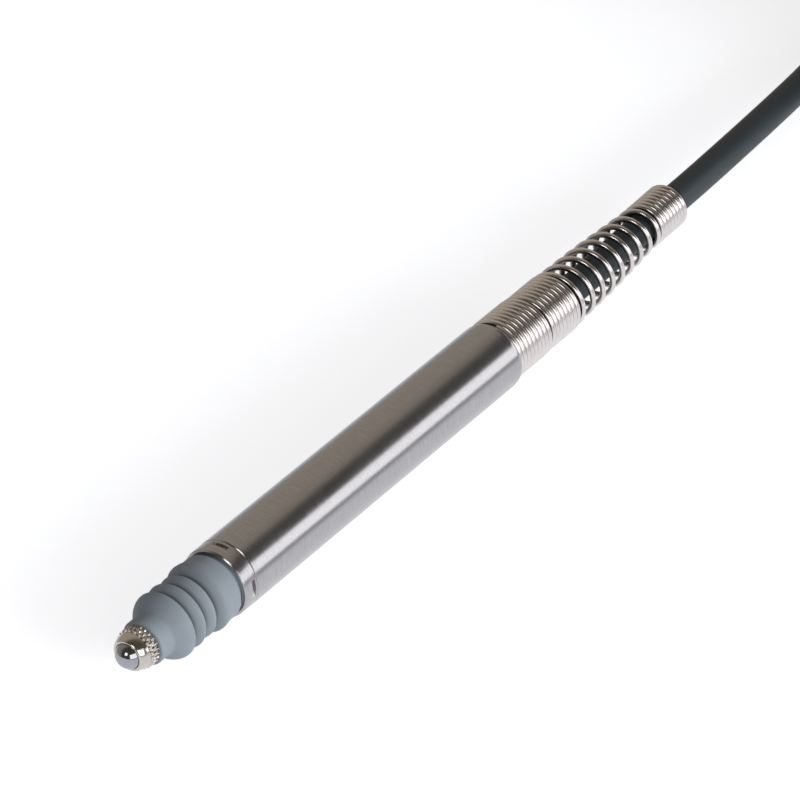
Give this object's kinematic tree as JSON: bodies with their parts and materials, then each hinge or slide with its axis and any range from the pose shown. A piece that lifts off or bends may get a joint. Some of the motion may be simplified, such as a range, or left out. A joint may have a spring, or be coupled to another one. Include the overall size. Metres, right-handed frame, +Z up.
{
  "type": "inductive probe",
  "caption": "Slim gauging probe: ball contact on a spring-loaded spindle, folded rubber bellows, plain clamping stem, wound spring strain relief and a cable with a round plug.",
  "frame": {"origin": "on the surface it lies on, under the middle of the probe's length from the contact ball to the end of the strain relief", "axes": "+X along the stem's axis from the contact ball to the cable, +Z up, the stem lying on its side"},
  "size_m": [0.2855, 0.0326, 0.0221],
  "materials": {
    "ball": "polished hard metal",
    "tip": "bright nickel plate",
    "bellows": "matte moulded rubber",
    "stem": "ground stainless steel",
    "guide": "hardened and ground steel",
    "cage": "turned brass",
    "spring": "nickel plated spring wire",
    "former": "moulded plastic",
    "core": "annealed soft iron",
    "winding": "enamelled copper wire, varnished",
    "board": "lacquered glass-fibre board",
    "lead": "insulated stranded wire",
    "seal": "matte black rubber",
    "cable": "matte dark grey cable jacket",
    "tie": "black strap",
    "plug": "moulded plastic",
    "pins": "gold plated brass"
  },
  "bodies": {
    "housing": {"bellows": "bellows", "front_ring": "stem", "body_tube": "stem", "guide_sleeve": "guide", "return_spring": "spring", "spring_seat": "former", "coil_bobbin": "former", "winding_front": "winding", "winding_middle": "winding", "winding_rear": "winding", "magnetic_shield": "core", "solder_board": "board", "lead_wires": "lead", "rear_bush": "stem", "seal_ring": "seal", "cable_ferrule": "stem", "relief_spring": "spring", "cable_run": "cable", "cable_hank": "cable", "cable_tail": "cable", "hank_ties": "tie", "plug_boot": "seal", "plug_grip": "plug", "plug_shroud": "tip", "plug_insert": "plug", "plug_pins": "pins"},
    "spindle": {"contact_ball": "ball", "contact_tip": "tip", "spindle": "guide", "key_pin": "guide", "core_rod": "cage", "core": "core"},
    "ball_cage": {"ball_cage": "cage", "guide_balls": "ball"}
  },
  "joints": [
    {"name": "spindle_slide", "type": "slide", "parent": "housing", "child": "spindle", "axis": [1, 0, 0], "range_m": [0, 0.003], "stiffness_N_per_m": 80, "springref_m": -0.008, "deforming": ["bellows", "return_spring"]},
    {"name": "cage_slide", "type": "slide", "parent": "housing", "child": "ball_cage", "axis": [1, 0, 0], "range_m": [0, 0.0015]}
  ],
  "couplings": [
    {"joint": "cage_slide", "follows": "spindle_slide", "ratio": 0.5}
  ]
}
